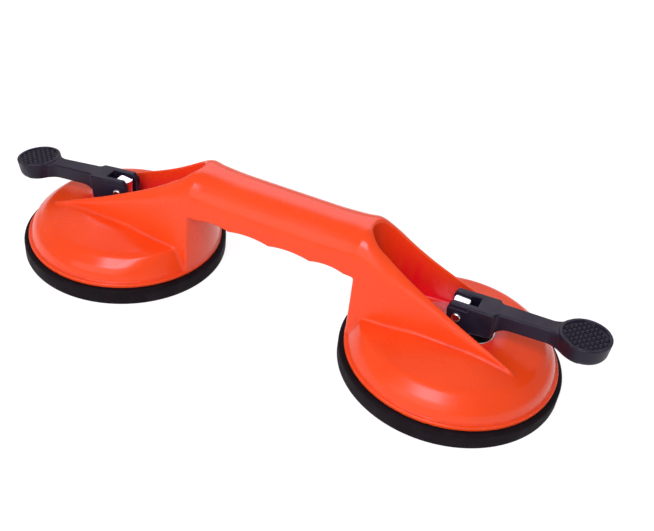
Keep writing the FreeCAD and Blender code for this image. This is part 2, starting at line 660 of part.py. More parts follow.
def lever(side):
    """The forked cam lever, one moulding with its thumb disc."""
    slab = doc.addObject("Part::Feature", f"lever_side_{side}")
    slab.Shape = lever_side()
    plan = padded(f"lever_plan_{side}", "XY_Plane", [
        ("-pin_height", "-fork_half_width"),
        ("fork_length", "-fork_half_width"),
        ("fork_length + 1.5", "-arm_half_width"),
        ("thumb_at - thumb_radius", "-neck_half_width"),
        ("thumb_at", "-neck_half_width"),
        ("thumb_at", "neck_half_width"),
        ("thumb_at - thumb_radius", "neck_half_width"),
        ("fork_length + 1.5", "arm_half_width"),
        ("fork_length", "fork_half_width"),
        ("-pin_height", "fork_half_width"),
    ], "pin_height * 4")
    blank = combined("common", f"lever_blank_{side}", slab, plan)

    disc = turned(f"thumb_{side}", [
        ("0", "-thumb_thickness"),
        ("thumb_radius", "-thumb_thickness"),
        ("thumb_radius", "0"),
        ("thumb_radius - thumb_rim", "0"),
        ("thumb_radius - thumb_rim", "-thumb_recess"),
        ("0", "-thumb_recess"),
    ])
    rounded(disc, f"thumb_{side}_round", "thumb_round",
            ring_at("thumb_radius", "-thumb_thickness"))
    disc.setExpression("Placement.Base.x", on_sheet("thumb_at"))
    disc.setExpression("Placement.Base.z", on_sheet("fork_top + thumb_step"))
    clear = shape_of("Part::Cylinder", f"thumb_clear_{side}",
                     Radius="thumb_radius - thumb_rim", Height="thumb_recess + thumb_step")
    clear.setExpression("Placement.Base.x", on_sheet("thumb_at"))
    clear.setExpression("Placement.Base.z", on_sheet("fork_top + thumb_step - thumb_recess"))
    slot = shape_of("Part::Box", f"slot_{side}", Length="slot_length + pin_height * 2",
                    Width="slot_half_width * 2", Height="pin_height * 4")
    slot.setExpression("Placement.Base.x", on_sheet("-pin_height * 2"))
    slot.setExpression("Placement.Base.y", on_sheet("-slot_half_width"))
    slot.setExpression("Placement.Base.z", on_sheet("-pin_height * 2"))
    bore = shape_of("Part::Cylinder", f"bore_{side}", Radius="pin_radius",
                    Height="fork_half_width * 4")
    bore.Placement.Rotation = FreeCAD.Rotation(FreeCAD.Vector(1, 0, 0), 90)
    bore.setExpression("Placement.Base.y", on_sheet("fork_half_width * 2"))
    solid = combined("fuse", f"lever_solid_{side}", blank, disc)
    cut = combined("cut", f"lever_cut_{side}", solid, clear, slot, bore)
    bumps = doc.addObject("Part::Feature", f"bumps_{side}")
    bumps.Shape = grip_bumps()
    whole = combined("fuse", f"lever_whole_{side}", cut, bumps)
    sub_part(at_pin(whole, side), f"lever_{side}")


def at_pin(thing, side):
    """Places an object on the lever's pin, turned to the lever's angle."""
    at_cup(thing, side, f"{LOCKED_PIN} - {lowered(side)}")
    angle = size(f"lever_droop - {side}_raise")
    thing.Placement.Rotation = (FreeCAD.Rotation(FreeCAD.Vector(0, 0, 1), SIDES[side])
                                * FreeCAD.Rotation(FreeCAD.Vector(0, 1, 0), angle))
    return thing


def lever_pin(side):
    """The steel pin with a low head on each end."""
    pin = turned(f"pin_{side}", [
        ("0", "-fork_half_width - pin_head_height"),
        ("pin_head_radius", "-fork_half_width - pin_head_height"),
        ("pin_head_radius", "-fork_half_width"),
        ("pin_radius", "-fork_half_width"),
        ("pin_radius", "fork_half_width"),
        ("pin_head_radius", "fork_half_width"),
        ("pin_head_radius", "fork_half_width + pin_head_height"),
        ("0", "fork_half_width + pin_head_height"),
    ])
    rounded(pin, f"pin_{side}_round", "pin_head_height * 0.8",
            ring_at("pin_head_radius", "-fork_half_width - pin_head_height"),
            ring_at("pin_head_radius", "fork_half_width + pin_head_height"))
    at_cup(pin, side, f"{LOCKED_PIN} - {lowered(side)}")
    pin.Placement.Rotation = FreeCAD.Rotation(FreeCAD.Vector(1, 0, 0), 90)
    sub_part(pin, f"lever_pin_{side}")


body_shell()
for cup_side in SIDES:
    rubber(cup_side)
    stud_set(cup_side)
    wear_plate(cup_side)
    lever(cup_side)
    lever_pin(cup_side)

doc.recompute()
for thing in doc.Objects:
    if "Invalid" in thing.State or "Error" in thing.State:
        raise RuntimeError(f"{thing.Name} ({thing.Label}) failed: {thing.State}")
for thing in SUB_PARTS:
    if thing.Shape.isNull() or not thing.Shape.isValid():
        raise RuntimeError(f"{thing.Label} has no valid shape")

os.makedirs("parts", exist_ok=True)
for thing in SUB_PARTS:
    thing.Shape.exportStep(f"parts/{thing.Label}.step")
    box = thing.Shape.optimalBoundingBox(False)
    print(f"{thing.Label}: {len(thing.Shape.Solids)} solid, {thing.Shape.Volume:.0f} cubic mm, "
          f"x {box.XMin:.1f} to {box.XMax:.1f}, y {box.YMin:.1f} to {box.YMax:.1f}, "
          f"z {box.ZMin:.1f} to {box.ZMax:.1f}")
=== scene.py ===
"""Looks of a two-cup suction lifter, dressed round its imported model.

The main mouldings are drawn as distance fields: each form is a function that is negative inside
the piece and gives the distance to its surface in millimetres. Forms are joined and cut with
rounded edges, as a mould maker rounds them, and then skinned with a closed mesh. Turned pieces
are lathed from their profiles. The springs and the grip bumps are Geometry Nodes.
The frame has X along the handle, Y across it and Z up, and stands on Z = 0.
"""
import json
import math

import bpy
import numpy as np
from mathutils import Matrix, Vector


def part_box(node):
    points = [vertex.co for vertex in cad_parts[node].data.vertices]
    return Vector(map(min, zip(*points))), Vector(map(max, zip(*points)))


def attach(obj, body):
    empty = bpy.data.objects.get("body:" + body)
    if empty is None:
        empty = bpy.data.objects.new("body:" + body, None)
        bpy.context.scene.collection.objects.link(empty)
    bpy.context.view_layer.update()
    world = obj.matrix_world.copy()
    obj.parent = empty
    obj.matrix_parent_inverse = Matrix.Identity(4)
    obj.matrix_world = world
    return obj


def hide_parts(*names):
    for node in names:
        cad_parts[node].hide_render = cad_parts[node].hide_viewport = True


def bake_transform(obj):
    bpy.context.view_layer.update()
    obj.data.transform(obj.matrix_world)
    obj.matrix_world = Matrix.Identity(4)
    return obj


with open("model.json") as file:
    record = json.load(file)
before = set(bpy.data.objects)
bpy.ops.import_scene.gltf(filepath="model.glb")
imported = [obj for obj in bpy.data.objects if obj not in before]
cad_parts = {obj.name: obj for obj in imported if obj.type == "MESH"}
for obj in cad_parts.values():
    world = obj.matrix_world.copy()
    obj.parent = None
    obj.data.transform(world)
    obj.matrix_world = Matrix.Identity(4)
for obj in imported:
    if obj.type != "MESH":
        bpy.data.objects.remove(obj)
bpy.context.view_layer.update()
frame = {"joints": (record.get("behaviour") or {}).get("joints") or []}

MM = 0.001
SIDES = {"right": 1, "left": -1}

# ---------------------------------------------------------------- sizes, in millimetres


def node_box(node):
    """Lowest and highest corner of a node of the frame, in millimetres."""
    low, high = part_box(node)
    return np.array(low) / MM, np.array(high) / MM


def joint(name):
    """A joint's entry in the frame."""
    return next(j for j in frame["joints"] if j["name"] == name)


def pin_height(side):
    """Height of a lever's pin, in millimetres."""
    return joint(f"lever_{side}_swing")["pos_m"][2] / MM


rim_low, rim_high = node_box("rubber_rim_right")
web_low, web_high = node_box("rubber_web_right")
wear_low, wear_high = node_box("wear_plate_right")
plate_low, plate_high = node_box("anchor_plate_right")
shell_low, shell_high = node_box("body_shell")
lever_pin_low, lever_pin_high = node_box("lever_pin_right")

CUP_X = (rim_low[0] + rim_high[0]) / 2
DISC_RADIUS = (rim_high[1] - rim_low[1]) / 2
WEB_RADIUS = (web_high[1] - web_low[1]) / 2
SEAT = rim_high[2]
LIP_RADIUS = shell_high[1]
CROWN = wear_low[2]
PEAK = shell_high[2]

# cups: corners of the outside, as distance from the cup's axis and height
LIP_HEIGHT = 2.3
LIP_EDGE = 0.6
WALL_FOOT = (LIP_RADIUS - 1.5, SEAT + 2.0)
WALL_TOP = (LIP_RADIUS - 3.5, SEAT + 8.6)
SHOULDER = (LIP_RADIUS - 10.6, SEAT + 14.6)
FULL_SHOULDER = (LIP_RADIUS - 6.8, SEAT + 15.6)
CROWN_EDGE = (24.5, CROWN)
CUP_WALL = 3.2
SEAT_INSIDE = LIP_RADIUS - 4.6
BOSS_RADIUS = 6.9
BOSS_DEPTH = 2.6
BOSS_EDGE = 0.5
BOSS_FILLET = 0.6
GUIDE_RADIUS = 4.56
FOOT_EDGE = 0.4
OPENING_EDGE = 0.5
FULL_FROM = (22, 44)

# blocks with the lever pockets; places along the handle are distances from the cup's axis
CHEEK = 18.8
CHEEK_DRAFT = 0.014
CHEEK_LEAN = 0.075
CHEEK_LEAN_OVER = (-48, -8)
CHEEK_FILLET = 1.6
FLARE = (-66, -44)
BLOCK_RADIUS = LIP_RADIUS - 0.2
PEAK_RISE = 1.15
PEAK_CLIMB = (-76, -51)
SLOPE_FROM = -50.5
SLOPE_CURVE = (PEAK - 0.3, -0.7508, 0.005063, -0.00002668)
SLOPE_STEEP = (0.14, -54, -50)
SLOPE_DIVE = 12
SLOPE_DIVE_OVER = (33, 46)
PEAK_SOFTNESS = 2.0
POCKET_END = -40.8
POCKET_END_RADIUS = 10.5
POCKET_TAPER = 0.096
POCKET_EDGE = 0.8
POCKET_SHADE_RIM = (-0.8, 0.1)
POCKET_SHADE_DEPTH = (0.5, 6.0)
POCKET_SHADE_END = (-42, -22)

# handle
HANDLE_HALF = 17.75
HANDLE_TOP = PEAK - 1.2
HAND_GAP = 47.3
HANDLE_ROUND = 15.5
CREST_THINNING = ((6.5, -60, -38), (4.6, -44, -4), (3.2, -4, 36))
FINGER_PITCH = 23.6
FINGER_DEPTH = 1.5
LAST_FINGER = 0.8
UNDER_FILLET = 1.4
UNDER_EDGE = 1.0
HANDLE_WALL = 3.4
CHANNEL_CORNER = 1.5
RIB_HALF = 1.2
RIB_EDGE = 0.4
RIB_FILLET = 0.8

# levers, in their own frame: X out along the top face, Z up, the pin at the origin
DROOP = math.radians(7.2)
CAM_REACH = 9.25
CAM_FALL = 4.0 / (math.pi / 2)
HEEL_REACH = 16.5
HEEL_EDGE = 0.8
FORK_HALF = 7.6
FORK_LENGTH = 18.5
FORK_CORNER = 1.2
FORK_ROUND = 6.5
TOP_FACE = 7.4
ARM_FROM = 2.0
ARM_UNDER = -0.9
ARM_HALF = 5.2
ARM_EDGE = 0.5
ARM_FILLET = 10.0
NECK_HALF = 4.6
NECK_FILLET = 6.0
SIDE_EDGE = 0.9
SLOT_HALF = 3.75
SLOT_LENGTH = 9.0
LEDGE_DEPTH = 0.3
LEDGE_HEIGHT = 4.6
LEDGE_END = 5.0
FINE_EDGE = 0.3
THUMB_AT = 61.0
THUMB_RADIUS = 12.6
THUMB_THICKNESS = 10.5
THUMB_DRAFT = 0.09
THUMB_ROUND = 3.4
THUMB_FILLET = 1.2
THUMB_STEP = 0.8
THUMB_RIM = 1.7
THUMB_RECESS = 1.0
BUMP_PITCH = 3.8
BUMP_RADIUS = 1.4
BUMP_HEIGHT = 0.85

# rubber discs, with distances from the cup's axis
GROOVES = (52.6, 54.4, 56.2)
GROOVE_HALF = 0.5
GROOVE_DEPTH = 0.45
WEB_THICKNESS = 4.6
FLEX_RADIUS = 41.0
HUB_RADIUS = 20.9
HUB_FOOT = 23.2
HUB_UNDER = 19.8

# studs, pins, plates and springs
STUD_RADIUS = 4.5
STUD_FLAT = 3.5
STUD_FLATS_FROM = -10.5
STUD_ABOVE_PIN = 5.9
STUD_FOOT = plate_low[2] - pin_height("right")
STUD_EYE_RADIUS = 2.05
PIN_RADIUS = 2.0
PIN_HEAD_RADIUS = (lever_pin_high[0] - lever_pin_low[0]) / 2
PIN_HALF_LENGTH = lever_pin_high[1]
PLATE_RADIUS = (plate_high[1] - plate_low[1]) / 2
PLATE_THICKNESS = plate_high[2] - plate_low[2]
PRESSING = (15.6, 16.6)
PRESSING_DEPTH = 0.5
WEAR_HOLE_RADIUS = STUD_RADIUS + 0.3
TRACK_EDGE = 0.5
SPRING_RADIUS = 8.0
SPRING_WIRE = 1.5
SPRING_TURNS = 4.0
SPRING_FLAT_SHARE = 0.12
SPRING_INSET = 0.52 * SPRING_WIRE

# nets that the forms are skinned with: the size of a cell and the most triangles
SHELL_NET = (0.7, 195000)
STUD_NET = (0.22, 60000)
WEAR_NET = (0.3, 60000)
LEVER_NET = (0.38, 130000)

# ---------------------------------------------------------------- forms as distance fields


def round_max(a, b, radius):
    """What is inside both forms, with the edge between them rounded."""
    corner = np.hypot(np.maximum(a + radius, 0), np.maximum(b + radius, 0))
    return np.minimum(np.maximum(a, b), -radius) + corner


def round_min(a, b, radius):
    """What is inside either form, with the valley between them filled to a radius."""
    return -round_max(-a, -b, radius)


def soft_max(a, b, reach):
    """What is inside both forms, where they meet at a shallow angle."""
    blend = np.maximum(reach - np.abs(a - b), 0) / reach
    return np.maximum(a, b) + blend * blend * reach / 4


def half_plane(u, v, start, end):
    """Distance to the line from start to end in a section, outside on its left."""
    du, dv = end[0] - start[0], end[1] - start[1]
    length = math.hypot(du, dv)
    return ((v - start[1]) * du - (u - start[0]) * dv) / length


def ramp(x, start, end):
    """0 before start and 1 after end, with a smooth change between."""
    share = np.clip((x - start) / (end - start), 0, 1)
    return share * share * (3 - 2 * share)


def bowl(radius, z, shoulder):
    """The outside of a cup above its lip, with its shoulder at one corner of the section."""
    roof = half_plane(radius, z, CROWN_EDGE, shoulder)
    slope = half_plane(radius, z, shoulder, WALL_TOP)
    wall = half_plane(radius, z, WALL_TOP, WALL_FOOT)
    outside = soft_max(soft_max(z - CROWN, roof, 0.7), slope, 1.2)
    return soft_max(outside, wall, 1.7)


def dome(x, radius, z):
    """The outside of a cup, which is fuller on the side of the handle."""
    fullness = ramp(-x, *FULL_FROM)
    return bowl(radius, z, SHOULDER) * (1 - fullness) + bowl(radius, z, FULL_SHOULDER) * fullness


def block_top(x):
    """Height of a block's top along the handle: level, a low peak, then the slope."""
    beyond = x - SLOPE_FROM
    high, fall, ease, swell = SLOPE_CURVE
    slope = high + beyond * (fall + beyond * (ease + beyond * swell))
    slope = slope - SLOPE_DIVE * ramp(x, *SLOPE_DIVE_OVER)
    level = HANDLE_TOP + PEAK_RISE * ramp(x, *PEAK_CLIMB)
    return -soft_max(-slope, -level, PEAK_SOFTNESS)


def pocket_plan(x, across):
    """Distance to a lever pocket's outline, seen from above, with a round end by the handle."""
    side = across - POCKET_END_RADIUS - POCKET_TAPER * (x - POCKET_END)
    end = np.hypot(x - POCKET_END, across) - POCKET_END_RADIUS
    return np.where(x > POCKET_END, side, end)


def shell(world_x, y, z):
    """The moulded shell: two cups, two blocks with pockets and the hollow handle."""
    along = np.abs(world_x)
    x = along - CUP_X
    across = np.abs(y)
    radius = np.hypot(x, y)
    cup = dome(x, radius, z)
    lip = round_max(radius - LIP_RADIUS, z - SEAT - LIP_HEIGHT, LIP_EDGE)

    widening = ramp(x, *FLARE)
    half = HANDLE_HALF + (CHEEK - HANDLE_HALF) * widening
    lean = CHEEK_DRAFT * widening + CHEEK_LEAN * ramp(x, *CHEEK_LEAN_OVER)
    cheek = across - half + lean * (z - SHOULDER[1])
    crest = HANDLE_ROUND
    for thinning, start, end in CREST_THINNING:
        crest = crest - thinning * ramp(x, start, end)
    lost, start, end = SLOPE_STEEP
    steep = 1 - lost * ramp(x, start, end)
    beam = round_max(cheek, (z - block_top(x)) * steep, crest)
    finger = along / FINGER_PITCH
    finger = np.where(finger < 1, finger, np.clip((finger - 1) / LAST_FINGER, 0, 1))
    under = HAND_GAP + FINGER_DEPTH * (1 - (2 * finger - 1) ** 2)
    below = round_min(under - z, radius - BLOCK_RADIUS, UNDER_FILLET)
    beam = round_max(beam, below, UNDER_EDGE)
    beam = round_max(beam, -pocket_plan(x, across), POCKET_EDGE)
    outside = round_min(cup, beam, CHEEK_FILLET)
    outside = round_min(outside, lip, LIP_EDGE)
    outside = round_max(outside, SEAT - z, FOOT_EDGE)

    cavity = np.maximum(cup + CUP_WALL, radius - SEAT_INSIDE)
    boss = round_max(radius - BOSS_RADIUS, CROWN - CUP_WALL - BOSS_DEPTH - z, BOSS_EDGE)
    cavity = round_max(cavity, -boss, BOSS_FILLET)
    cavity = np.minimum(cavity, radius - GUIDE_RADIUS)
    channel = round_max(across - HANDLE_HALF + HANDLE_WALL, z - HANDLE_TOP + HANDLE_WALL,
                        HANDLE_ROUND - HANDLE_WALL)
    channel = round_max(channel, x + BLOCK_RADIUS + HANDLE_WALL, CHANNEL_CORNER)
    rib = np.minimum(along, np.abs(along - FINGER_PITCH)) - RIB_HALF
    rib = round_max(rib, HAND_GAP + FINGER_DEPTH - z, RIB_EDGE)
    channel = round_max(channel, -rib, RIB_FILLET)
    return round_max(outside, -np.minimum(cavity, channel), OPENING_EDGE)


def cam(x, z):
    """The lever's working edge, whose reach from the pin shrinks evenly with the swing.

    Also the flat that it ends in when the lever is released.
    """
    away = np.maximum(np.hypot(x, z), 0.01)
    turn = -np.arctan2(z, x) - np.arccos(np.clip(CAM_FALL / away, -1, 1))
    turn = np.clip(turn, -DROOP, math.pi / 2 - DROOP)

    def reach_over(angle):
        return -x * np.sin(angle) - z * np.cos(angle) - CAM_REACH + CAM_FALL * (angle + DROOP)

    locked = reach_over(np.full_like(x, -DROOP))
    released = reach_over(np.full_like(x, math.pi / 2 - DROOP))
    return np.maximum(np.maximum(reach_over(turn), locked), released), released


def lever_form(x, y, z):
    """A forked lever with its cam, arm and thumb disc."""
    across = np.abs(y)
    from_centre = np.hypot(x - THUMB_AT, y)
    under, inner = cam(x, z)
    heel = x * math.cos(DROOP) + z * math.sin(DROOP) - HEEL_REACH
    top = z - TOP_FACE
    fork = round_max(round_max(under, inner, FINE_EDGE), heel, HEEL_EDGE)
    fork = round_max(round_max(fork, top, FINE_EDGE), round_max(inner, top, FORK_ROUND), FINE_EDGE)
    fork_plan = round_max(across - FORK_HALF, x - FORK_LENGTH, FORK_CORNER)
    above_ledge = round_max(LEDGE_HEIGHT - z, x - LEDGE_END, 0.2)
    above_ledge = round_max(above_ledge, FORK_HALF - LEDGE_DEPTH - across, 0.1)
    fork_plan = round_max(fork_plan, -above_ledge, 0.15)

    share = np.clip((x - FORK_LENGTH) / (THUMB_AT - THUMB_RADIUS - FORK_LENGTH), 0, 1)
    arm_plan = across - ARM_HALF + (ARM_HALF - NECK_HALF) * share
    arm_plan = round_min(arm_plan, from_centre - THUMB_RADIUS + 1.0, NECK_FILLET)
    arm = round_max(ARM_UNDER - z, ARM_FROM - x, ARM_EDGE)
    arm = round_max(arm, x - THUMB_AT, ARM_EDGE)
    side = round_max(round_min(fork, arm, ARM_FILLET), under, FINE_EDGE)
    side = np.maximum(side, top)
    plan = round_min(fork_plan, np.maximum(arm_plan, ARM_FROM - x), 2.0)
    solid = round_max(side, plan, SIDE_EDGE)

    over = TOP_FACE + THUMB_STEP
    drum = from_centre - THUMB_RADIUS + THUMB_DRAFT * (over - z)
    drum = round_max(drum, over - THUMB_THICKNESS - z, THUMB_ROUND)
    drum = round_max(drum, z - over, 0.5)
    solid = round_min(solid, drum, THUMB_FILLET)
    dish = round_max(from_centre - THUMB_RADIUS + THUMB_RIM, over - THUMB_RECESS - z, 0.35)
    solid = round_max(solid, -dish, 0.35)
    slot = round_max(across - SLOT_HALF, x - SLOT_LENGTH, 0.5)
    solid = round_max(solid, -slot, 0.5)
    return round_max(solid, PIN_RADIUS - np.hypot(x, z), 0.25)


def stud_form(x, y, z):
    """A draw stud from its foot in the anchor plate to its eye, with the pin at the origin."""
    bar = round_max(np.hypot(x, y) - STUD_RADIUS, STUD_FOOT - z, 0.4)
    blade = round_max(np.abs(y) - STUD_FLAT, z - STUD_ABOVE_PIN, 0.9)
    bar = round_max(bar, np.minimum(blade, z - STUD_FLATS_FROM), 0.4)
    head = round_max(np.abs(x) - STUD_RADIUS, z - STUD_ABOVE_PIN, 1.1)
    bar = round_max(bar, head, 0.5)
    return round_max(bar, STUD_EYE_RADIUS - np.hypot(x, z), 0.3)


def wear_form(x, y, z):
    """A round-ended wear plate round its stud, lying on the crown."""
    half_length = (wear_high[0] - wear_low[0]) / 2
    half_width = (wear_high[1] - wear_low[1]) / 2
    ends = np.hypot(np.maximum(np.abs(x) - half_length + half_width, 0), y) - half_width
    plate = round_max(ends, z - wear_high[2], 0.4)
    plate = round_max(plate, wear_low[2] - z, 0.1)
    return round_max(plate, WEAR_HOLE_RADIUS - np.hypot(x, y), 0.25)


# ---------------------------------------------------------------- skins on the forms

CORNERS = np.array([(i, j, k) for i in (0, 1) for j in (0, 1) for k in (0, 1)])
EDGES = [(a, b) for a in range(8) for b in range(a + 1, 8)
         if np.abs(CORNERS[a] - CORNERS[b]).sum() == 1]


def surface_net(form, low, high, step):
    """Points and quads round a form, with one point in each cell that its surface crosses."""
    axes = [np.arange(a - 1.5 * step, b + 1.6 * step, step) for a, b in zip(low, high)]
    value = form(*np.meshgrid(*axes, indexing="ij"))
    inside = value < 0
    shape = tuple(n - 1 for n in value.shape)
    count = np.zeros(shape, np.int8)
    for i, j, k in CORNERS:
        count += inside[i:i + shape[0], j:j + shape[1], k:k + shape[2]]
    cells = np.argwhere((count > 0) & (count < 8))
    number = np.full(shape, -1)
    number[tuple(cells.T)] = np.arange(len(cells))
    at_corner = value[tuple(np.moveaxis(cells[:, None, :] + CORNERS, 2, 0))]
    total = np.zeros((len(cells), 3))
    hits = np.zeros(len(cells))
    for a, b in EDGES:
        first, last = at_corner[:, a], at_corner[:, b]
        hit = (first < 0) != (last < 0)
        share = first[hit] / (first[hit] - last[hit])
        total[hit] += CORNERS[a] + share[:, None] * (CORNERS[b] - CORNERS[a])
        hits[hit] += 1
    origin = np.array([axis[0] for axis in axes])
    points = origin + step * (cells + total / hits[:, None])

    quads = []
    for axis in range(3):
        first = np.delete(inside, -1, axis)
        last = np.delete(inside, 0, axis)
        for outward, order in ((first & ~last, 1), (last & ~first, -1)):
            edge = np.argwhere(outward)
            corners = []
            for u, v in ((-1, -1), (0, -1), (0, 0), (-1, 0))[::order]:
                shift = np.zeros(3, int)
                shift[(axis + 1) % 3] = u
                shift[(axis + 2) % 3] = v
                corners.append(number[tuple((edge + shift).T)])
            quads.append(np.stack(corners, 1))
    return points, np.concatenate(quads)


def slopes(form, points):
    """Direction in which a form grows at each point."""
    reach = 0.02
    grow = np.zeros_like(points)
    for axis in range(3):
        step = np.zeros(3)
        step[axis] = reach
        ahead = form(*(points + step).T)
        behind = form(*(points - step).T)
        grow[:, axis] = (ahead - behind) / (2 * reach)
    return grow


def settle(form, points, most):
    """Moves points onto a form's surface, each time by no more than a given length."""
    for _ in range(5):
        grow = slopes(form, points)
        steep = np.maximum((grow ** 2).sum(1), 0.05)
        move = -(form(*points.T) / steep)[:, None] * grow
        length = np.maximum(np.linalg.norm(move, axis=1), 1e-9)
        points = points + move * np.minimum(1, most / length)[:, None]
    return points


def mesh_points(mesh):
    """Places of a mesh's points, a row for each."""
    flat = np.zeros(len(mesh.vertices) * 3)
    mesh.vertices.foreach_get("co", flat)
    return flat.reshape(-1, 3)


def plain_mesh(obj):
    """Works an object's modifiers into its mesh, and gives the new mesh."""
    evaluated = obj.evaluated_get(bpy.context.evaluated_depsgraph_get())
    mesh = bpy.data.meshes.new_from_object(evaluated)
    obj.modifiers.clear()
    old = obj.data
    obj.data = mesh
    bpy.data.meshes.remove(old)
    mesh.name = obj.name
    return mesh


def new_object(name, data):
    """An object in the scene with its data."""
    obj = bpy.data.objects.new(name, data)
    bpy.context.scene.collection.objects.link(obj)
    return obj


def keep_edge(mesh, values):
    """Stores how sharply the surface bends outwards at each point, per millimetre."""
    attribute = mesh.attributes.new("edge", "FLOAT", "POINT")
    attribute.data.foreach_set("value", np.asarray(values, np.float32))


def skin(name, form, low, high, net, place=Matrix.Identity(4)):
    """A closed mesh on a form's surface, in place, shaded by the form's own slopes."""
    step, most_triangles = net
    points, quads = surface_net(form, low, high, step)
    mesh = bpy.data.meshes.new(name)
    mesh.from_pydata(points, [], quads)
    obj = new_object(name, mesh)
    if 2 * len(quads) > most_triangles:
        thin = obj.modifiers.new("thin", "DECIMATE")
        thin.ratio = most_triangles / (2 * len(quads))
        mesh = plain_mesh(obj)
    points = settle(form, mesh_points(mesh), step * 0.5)
    grow = slopes(form, points)
    normals = grow / np.maximum(np.linalg.norm(grow, axis=1), 1e-9)[:, None]
    bend = np.zeros(len(points))
    reach = 0.3
    for axis in range(3):
        shift = np.zeros(3)
        shift[axis] = reach
        bend += form(*(points + shift).T) + form(*(points - shift).T)
    bend = (bend - 6 * form(*points.T)) / reach ** 2
    turn = np.array(place.to_3x3())
    placed = points @ turn.T * MM + np.array(place.translation)
    mesh.vertices.foreach_set("co", placed.ravel())
    keep_edge(mesh, bend)
    mesh.polygons.foreach_set("use_smooth", np.ones(len(mesh.polygons), bool))
    mesh.normals_split_custom_set_from_vertices(normals @ turn.T)
    mesh.update()
    return obj


def arc_corners(corners):
    """A section's outline and its bend, with each corner (radius, height, rounding) an arc."""
    steps = 6
    outline, bend = [], []
    count = len(corners)
    for index, (r, z, rounding) in enumerate(corners):
        here = np.array((r, z))
        before = np.array(corners[index - 1][:2]) - here
        after = np.array(corners[(index + 1) % count][:2]) - here
        if rounding == 0:
            outline.append(here)
            bend.append(0)
            continue
        before = before / np.linalg.norm(before)
        after = after / np.linalg.norm(after)
        outward = np.sign(before[1] * after[0] - before[0] * after[1])
        half = math.acos(np.clip(before @ after, -1, 1)) / 2
        reach = rounding / math.tan(half)
        middle = (before + after) / np.linalg.norm(before + after)
        centre = here + middle * rounding / math.sin(half)
        start = here + before * reach - centre
        end = here + after * reach - centre
        for step in range(steps + 1):
            share = step / steps
            point = start * (1 - share) + end * share
            outline.append(centre + point / np.linalg.norm(point) * rounding)
            bend.append(outward / rounding)
    return np.array(outline), bend


def lathe(name, corners, place, segments):
    """A turned piece from its section, whose corners run round it with the outside on the right."""
    outline, bend = arc_corners(corners)
    count = len(outline)
    angles = 2 * math.pi * np.arange(segments) / segments
    rings = np.stack([
        outline[:, 0][:, None] * np.cos(angles),
        outline[:, 0][:, None] * np.sin(angles),
        np.repeat(outline[:, 1][:, None], segments, 1),
    ], 2)
    faces = []
    for ring in range(count):
        following = (ring + 1) % count
        for step in range(segments):
            ahead = (step + 1) % segments
            faces.append((ring * segments + step, ring * segments + ahead,
                          following * segments + ahead, following * segments + step))
    mesh = bpy.data.meshes.new(name)
    mesh.from_pydata(rings.reshape(-1, 3) * MM, [], faces)
    keep_edge(mesh, np.repeat(bend, segments))
    obj = new_object(name, mesh)
    weld = obj.modifiers.new("weld", "WELD")
    weld.merge_threshold = 0.002 * MM
    mesh = plain_mesh(obj)
    mesh.transform(place)
    mesh.polygons.foreach_set("use_smooth", np.ones(len(mesh.polygons), bool))
    mesh.set_sharp_from_angle(angle=math.radians(40))
    return obj


# ---------------------------------------------------------------- finishes


class Wiring:
    """Adds nodes to a tree. An input given as a socket is joined, and any other is set."""

    def __init__(self, tree):
        self.tree = tree

    def add(self, kind, inputs=(), **settings):
        node = self.tree.nodes.new(kind)
        for name, value in settings.items():
            setattr(node, name, value)
        self.feed(node, inputs)
        return node

    def feed(self, node, inputs):
        for name, value in dict(inputs).items():
            if isinstance(value, bpy.types.NodeSocket):
                self.tree.links.new(value, node.inputs[name])
            else:
                node.inputs[name].default_value = value

    def math(self, operation, first, second=0.0):
        """A sum on one or two numbers."""
        return self.add("ShaderNodeMath", {0: first, 1: second}, operation=operation).outputs[0]

    def noise(self, where, scale, detail):
        """Cloudy noise between 0 and 1."""
        inputs = {"Vector": where, "Scale": scale, "Detail": detail}
        return self.add("ShaderNodeTexNoise", inputs).outputs["Fac"]

    def step(self, value, start, end, low=0.0, high=1.0):
        """Turns a value into low before start and high after end, smoothly between."""
        inputs = {"Value": value, "From Min": start, "From Max": end, "To Min": low, "To Max": high}
        node = self.add("ShaderNodeMapRange", inputs, interpolation_type="SMOOTHSTEP")
        return node.outputs["Result"]

    def mixed(self, share, first, second):
        """A colour between two others."""
        node = self.add("ShaderNodeMix", {0: share, 6: first, 7: second}, data_type="RGBA")
        return node.outputs[2]


def effect(name, inputs, outputs):
    """A shader group with named numbers going in and out, its wiring, inputs and own place."""
    tree = bpy.data.node_groups.new(name, "ShaderNodeTree")
    for socket, value in inputs.items():
        made = tree.interface.new_socket(name=socket, in_out="INPUT", socket_type="NodeSocketFloat")
        made.default_value = value
    for socket in outputs:
        tree.interface.new_socket(name=socket, in_out="OUTPUT", socket_type="NodeSocketFloat")
    wiring = Wiring(tree)
    given = wiring.add("NodeGroupInput").outputs
    where = wiring.add("ShaderNodeTexCoord").outputs["Object"]
    return tree, wiring, given, where


def moulded_skin():
    """The fine relief that a mould leaves, and slow clouds in its tone."""
    tree, wiring, given, where = effect(
        "moulded_skin", {"Grain Scale": 1500.0, "Cloud Scale": 40.0}, ["Grain", "Cloud"])
    grain = wiring.noise(where, given["Grain Scale"], 2.0)
    cloud = wiring.step(wiring.noise(where, given["Cloud Scale"], 4.0), 0.3, 0.7)
    wiring.add("NodeGroupOutput", {"Grain": grain, "Cloud": cloud})
    return tree


